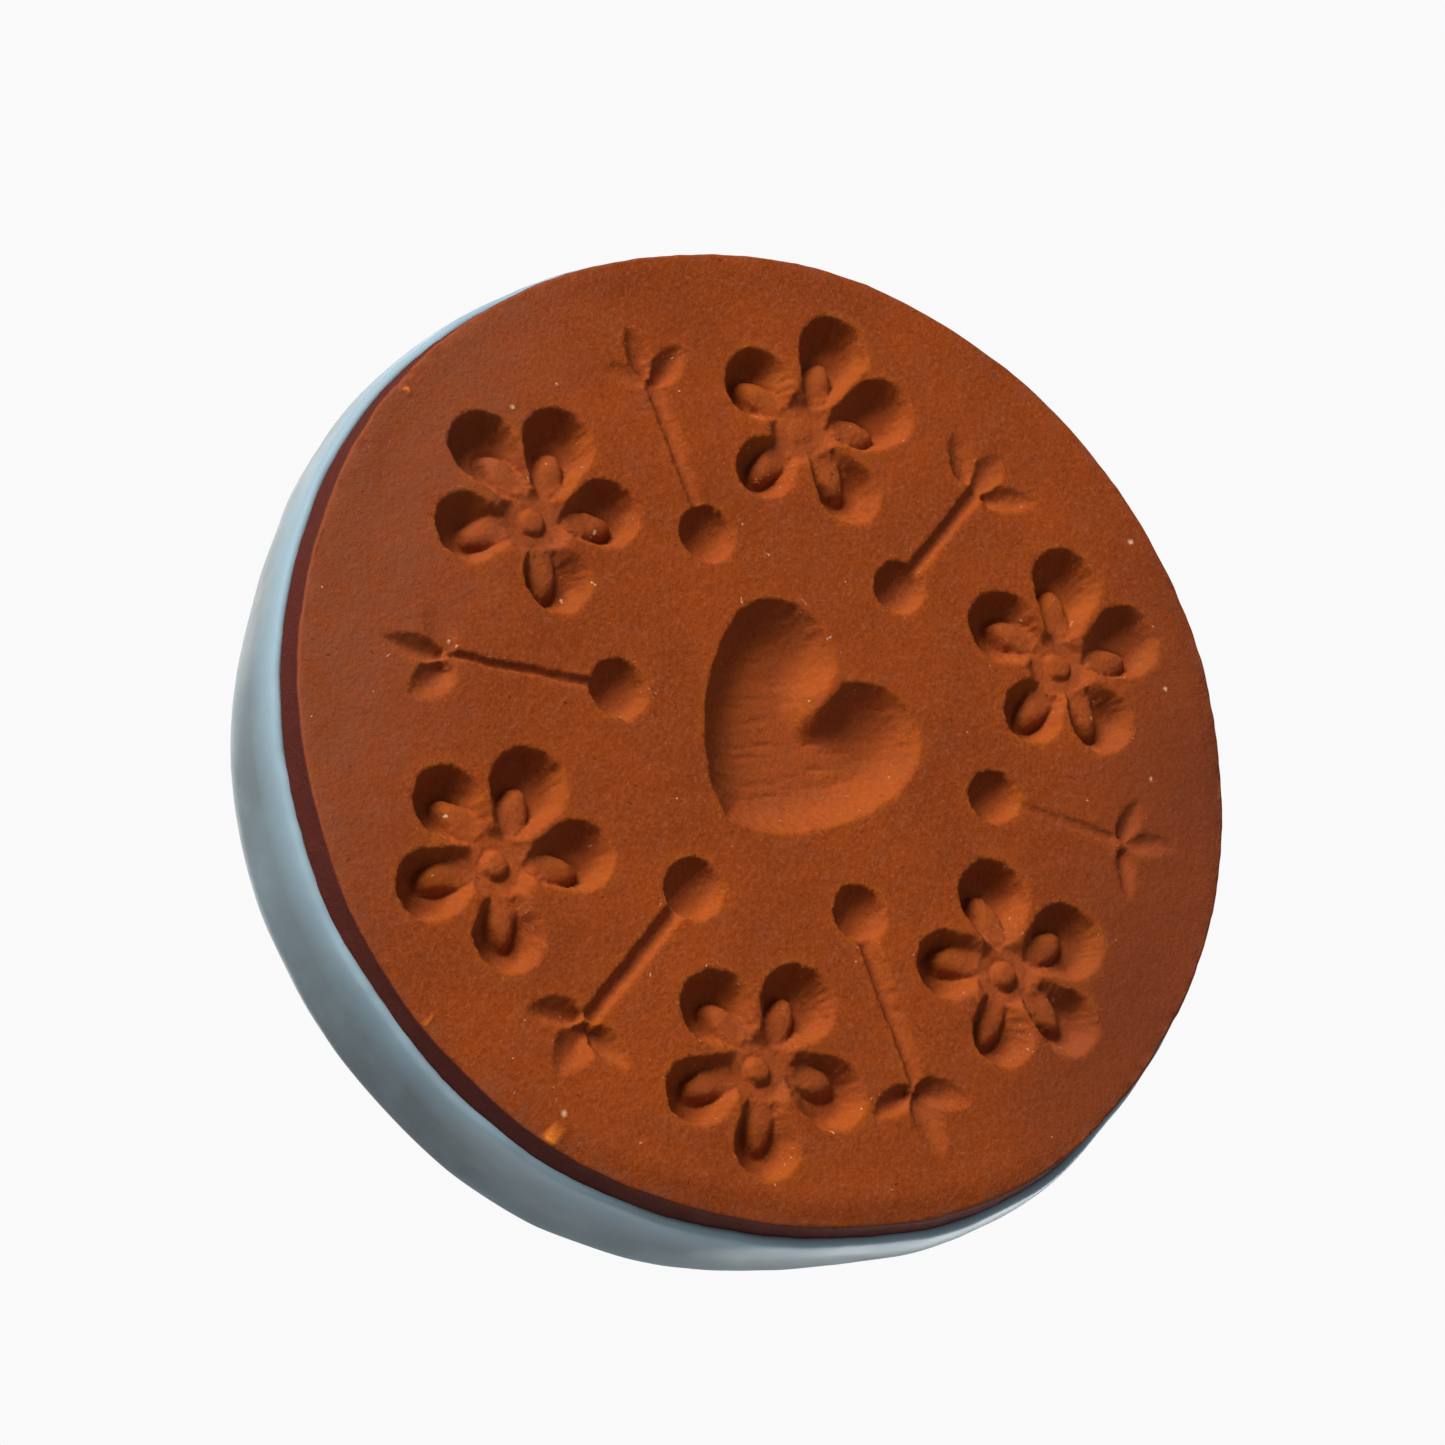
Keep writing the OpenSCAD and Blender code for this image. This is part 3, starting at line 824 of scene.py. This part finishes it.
def clay_material(name, base=CLAY_LIT, pressed=False):
    """Bare fired terracotta: mottled, matte, with fine grain, pores and pale specks."""
    material, tree, shader = node_tree(name)
    at = object_coordinates(tree)
    broad = noise_field(tree, at, 110, 3, 0.55)
    middle = noise_field(tree, at, 600, 4, 0.6)
    fine = noise_field(tree, at, 4200, 4, 0.75)
    colour = mix(tree, ramp(tree, broad, ((0.35, 0.0), (0.7, 1.0))), base, CLAY_DARK)
    colour = mix(tree, ramp(tree, middle, ((0.48, 0.0), (0.78, 0.35))), colour, CLAY_DUST_AND_SHEEN)
    colour = mix(tree, ramp(tree, fine, ((0.26, 0.42), (0.48, 0.0))), colour, PORE)
    colour = mix(tree, ramp(tree, fine, ((0.52, 0.0), (0.7, 0.45))), colour, CLAY_CHALK)
    if pressed:
        # Dust and a painted sheen dull and grey one side of the face
        dust_and_sheen = ramp(tree, middle, ((0.3, 0.35), (0.7, 1.0)))
        colour = mix(tree, times(tree, attribute(tree, "dust_and_sheen"), dust_and_sheen), colour, CLAY_DUST_AND_SHEEN)
        colour = mix(tree, times(tree, attribute(tree, "shade"), 0.7), colour, CLAY_SHADE)
        hollow = ramp(tree, attribute(tree, "pressed"), ((0.02, 0.0), (0.25, 0.22)))
        colour = mix(tree, hollow, colour, CLAY_PRESSED)
        stain = ramp(tree, noise_field(tree, at, 350, 3), ((0.4, 0.0), (0.66, 0.45)))
        colour = mix(tree, times(tree, attribute(tree, "lip"), stain), colour, CLAY_OCHRE)
    ragged = mix(tree, 0.0012, at, noise_colour(tree, at, 1500))
    pores, _ = dots(tree, ragged, 1500, 0.06, 0.06)
    pore_patch = ramp(tree, noise_field(tree, at, 300, 2), ((0.4, 0.0), (0.6, 0.8)))
    colour = mix(tree, times(tree, pores, pore_patch), colour, PORE)
    specks, tint = dots(tree, ragged, 620, 0.035, 0.03)
    rare = ramp(tree, tint, ((0.6, 0.0), (0.68, 0.8)))
    colour = mix(tree, times(tree, specks, rare), colour, SPECK)
    if pressed:
        grit, _ = dots(tree, ragged, 1900, 0.07, 0.08)
        grit_patch = ramp(tree, noise_field(tree, at, 500, 3), ((0.5, 0.0), (0.62, 1.0)))
        dust = times(tree, times(tree, grit, grit_patch), attribute(tree, "lip"))
        colour = mix(tree, dust, colour, SPECK)
        colour = mix(tree, attribute(tree, "specks"), colour, SPECK)
        # The bare band is painted a much darker brown than the face
        colour = mix(tree, attribute(tree, "bare_band"), colour, CLAY_BAND)
        colour = mix(tree, attribute(tree, "fresh"), colour, CLAY_FRESH)
        scuff = ramp(tree, noise_field(tree, at, 800, 4), ((0.45, 0.0), (0.7, 0.8)))
        rub = times(tree, attribute(tree, "worn"), scuff)
        colour = mix(tree, rub, colour, CLAY_DUST_AND_SHEEN)
    tree.links.new(colour, shader.inputs["Base Color"])
    tree.links.new(ramp(tree, middle, ((0.3, 0.78), (0.7, 0.92))), shader.inputs["Roughness"])
    shader.inputs["Specular IOR Level"].default_value = 0.15
    shape = bump(tree, noise_field(tree, at, 3200, 6, 0.75), 0.0002, 0.6)
    shape = bump(tree, noise_field(tree, at, 900, 3, 0.6), 0.00025, 0.22, shape)
    shape = bump(tree, pores, 0.0001, -0.5, shape)
    tree.links.new(shape, shader.inputs["Normal"])
    return material


GLAZE_PALE = (0.26, 0.37, 0.44)
GLAZE_MID = (0.17, 0.23, 0.265)
GLAZE_DEEP = (0.15, 0.18, 0.195)
GLAZE_BROKEN = (0.16, 0.11, 0.075)


def glaze_material(name):
    """Satin blue-grey glaze: mottled, paler where it pools along its lower edge, with a few pinholes."""
    material, tree, shader = node_tree(name)
    at = object_coordinates(tree)
    broad = noise_field(tree, at, 120, 3, 0.5)
    streak = noise_field(tree, at, 420, 4, 0.55)
    colour = mix(tree, ramp(tree, broad, ((0.35, 0.0), (0.68, 1.0))), GLAZE_MID, GLAZE_DEEP)
    colour = mix(tree, ramp(tree, streak, ((0.5, 0.0), (0.72, 0.25))), colour, GLAZE_PALE)
    pooled = ramp(tree, attribute(tree, "pooled"), ((0.1, 0.0), (0.85, 0.85)))
    colour = mix(tree, pooled, colour, GLAZE_PALE)
    pin, _ = dots(tree, at, 700, 0.06, 0.05)
    pin_patch = ramp(tree, noise_field(tree, at, 250, 2), ((0.55, 0.0), (0.7, 0.5)))
    colour = mix(tree, times(tree, pin, pin_patch), colour, GLAZE_BROKEN)
    tree.links.new(colour, shader.inputs["Base Color"])
    tree.links.new(ramp(tree, streak, ((0.3, 0.3), (0.7, 0.42))), shader.inputs["Roughness"])
    shader.inputs["Specular IOR Level"].default_value = 0.28
    shader.inputs["Coat Weight"].default_value = 0.1
    shader.inputs["Coat Roughness"].default_value = 0.18
    shape = bump(tree, noise_field(tree, at, 260, 3, 0.5), 0.0004, 0.25)
    tree.links.new(shape, shader.inputs["Normal"])
    return material


# ---------------------------------------------------------------- floor, light and camera

# In metres
FLOOR_HALF, FLOOR_Z = 1.5, -0.0003


def studio_floor():
    """A pale floor just under the face, which fades into the surround with distance.

    It has a top side only: from below it is clear, so that the face shows.
    """
    mesh = bpy.data.meshes.new("floor")
    half, low = FLOOR_HALF, FLOOR_Z
    corners = [(-half, -half, low), (half, -half, low), (half, half, low), (-half, half, low)]
    mesh.from_pydata(corners, [], [(0, 1, 2, 3)])
    material, tree, shader = node_tree("floor_paper")
    at = object_coordinates(tree)
    shade = ramp(tree, noise_field(tree, at, 60, 3), ((0.3, 0.8), (0.7, 0.84)))
    tree.links.new(shade, shader.inputs["Base Color"])
    shader.inputs["Roughness"].default_value = 0.9
    clear = tree.nodes.new("ShaderNodeBsdfTransparent")
    side = tree.nodes.new("ShaderNodeNewGeometry")
    glow = add(tree, "ShaderNodeEmission", Strength=0.93)
    far = tree.nodes.new("ShaderNodeVectorMath")
    far.operation = "LENGTH"
    tree.links.new(at, far.inputs[0])
    blend = tree.nodes.new("ShaderNodeMixShader")
    tree.links.new(ramp(tree, far.outputs["Value"], ((0.06, 0.4), (0.3, 1.0))), blend.inputs[0])
    tree.links.new(shader.outputs[0], blend.inputs[1])
    tree.links.new(glow.outputs[0], blend.inputs[2])
    choose = tree.nodes.new("ShaderNodeMixShader")
    output = tree.nodes["Material Output"]
    tree.links.new(side.outputs["Backfacing"], choose.inputs[0])
    tree.links.new(blend.outputs[0], choose.inputs[1])
    tree.links.new(clear.outputs[0], choose.inputs[2])
    tree.links.new(choose.outputs[0], output.inputs["Surface"])
    mesh.materials.append(material)
    floor = bpy.data.objects.new("floor", mesh)
    floor.visible_diffuse = floor.visible_glossy = floor.visible_shadow = False
    bpy.context.scene.collection.objects.link(floor)


def studio_world(seen=0.95, lit=0.19):
    """A plain pale surround: bright where the camera sees it, softer as a light."""
    world = bpy.data.worlds.new("studio")
    bpy.context.scene.world = world
    world.use_nodes = True
    tree = world.node_tree
    background = tree.nodes["Background"]
    path = tree.nodes.new("ShaderNodeLightPath")
    strength = tree.nodes.new("ShaderNodeMapRange")
    strength.inputs["To Min"].default_value = lit
    strength.inputs["To Max"].default_value = seen
    tree.links.new(path.outputs["Is Camera Ray"], strength.inputs["Value"])
    tree.links.new(strength.outputs[0], background.inputs["Strength"])
    background.inputs["Color"].default_value = (1, 1, 1, 1)


def area_light(name, direction, distance, size, power, colour=(1, 1, 1)):
    """A soft square lamp that faces the object from a direction."""
    lamp = bpy.data.lights.new(name, "AREA")
    lamp.size = size
    lamp.energy = power
    lamp.color = colour
    light = bpy.data.objects.new(name, lamp)
    towards = Vector(direction).normalized()
    light.location = towards * distance
    light.rotation_euler = (-towards).to_track_quat("-Z", "Y").to_euler()
    bpy.context.scene.collection.objects.link(light)
    return light


# The photograph's camera, fitted to the outline of the face
VIEW_TARGET = Vector((2.46, -2.33, 0.0)) * MM
VIEW_DISTANCE = 188.1 * MM
VIEW_TILT = math.radians(31.45)
VIEW_AZIMUTH = math.radians(-77.1)
VIEW_ROLL = math.radians(126.7)
VIEW_FIELD = math.radians(21.51)


def main_camera():
    """The photograph's view: from below the face, 31 degrees off its axis, rolled in the hand."""
    sideways = math.sin(VIEW_TILT)
    out = Vector((
        sideways * math.cos(VIEW_AZIMUTH),
        sideways * math.sin(VIEW_AZIMUTH),
        -math.cos(VIEW_TILT),
    ))
    forward = -out
    level = forward.cross(Vector((0, 0, 1))).normalized()
    upright = level.cross(forward)
    up = upright * math.cos(VIEW_ROLL) + level * math.sin(VIEW_ROLL)
    right = forward.cross(up)
    data = bpy.data.cameras.new("main_camera")
    data.sensor_width = data.sensor_height = 36
    data.sensor_fit = "HORIZONTAL"
    data.angle = VIEW_FIELD
    data.clip_start, data.clip_end = 0.005, 20
    camera = bpy.data.objects.new("main_camera", data)
    camera.matrix_world = Matrix((
        (right.x, up.x, -forward.x, 0),
        (right.y, up.y, -forward.y, 0),
        (right.z, up.z, -forward.z, 0),
        (0, 0, 0, 1),
    ))
    camera.location = VIEW_TARGET + out * VIEW_DISTANCE
    bpy.context.scene.collection.objects.link(camera)
    bpy.context.scene.camera = camera
    return right, up, out


right, up, towards_camera = main_camera()
studio_floor()
studio_world()
# The key and the sky light the clay and the glaze, but don't show as a glare in the glaze
key = area_light("key", (0.83, 0.1, -0.52), 1.0, 0.55, 18.8, (1.0, 0.97, 0.93))
key.visible_glossy = False
area_light("fill", 0.7 * right - 0.1 * up + 0.8 * towards_camera, 0.7, 0.5, 0.35)
area_light("overhead", (0.3, 0.25, 0.9), 0.8, 0.6, 1.4)
sky = area_light("sky", (0.0, 0.0, 1.0), 1.2, 1.2, 8.0)
sky.visible_glossy = False
area_light("side", (-0.42, -0.82, 0.35), 0.9, 0.6, 2.1)
area_light("back", (-0.85, 0.05, 0.5), 0.9, 0.7, 4.4)

# ---------------------------------------------------------------- pieces

bpy.context.scene.view_settings.view_transform = "Standard"

head = build_head(clay_material("terracotta_face", pressed=True))
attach(head, "root")
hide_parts("stamp_head")

glaze = build_glaze(glaze_material("pale_blue_glaze"))
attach(glaze, "root")
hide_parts("glaze_coat")

# The handle and the slip keep their CAD meshes, which the glaze covers
HIDDEN_CLAY = (("handle", "terracotta_handle", CLAY_LIT), ("joint_slip", "terracotta_slip", CLAY_DARK))
for node_name, material_name, base in HIDDEN_CLAY:
    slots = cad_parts[node_name].material_slots
    material = clay_material(material_name, base)
    for material_slot in slots:
        material_slot.material = material
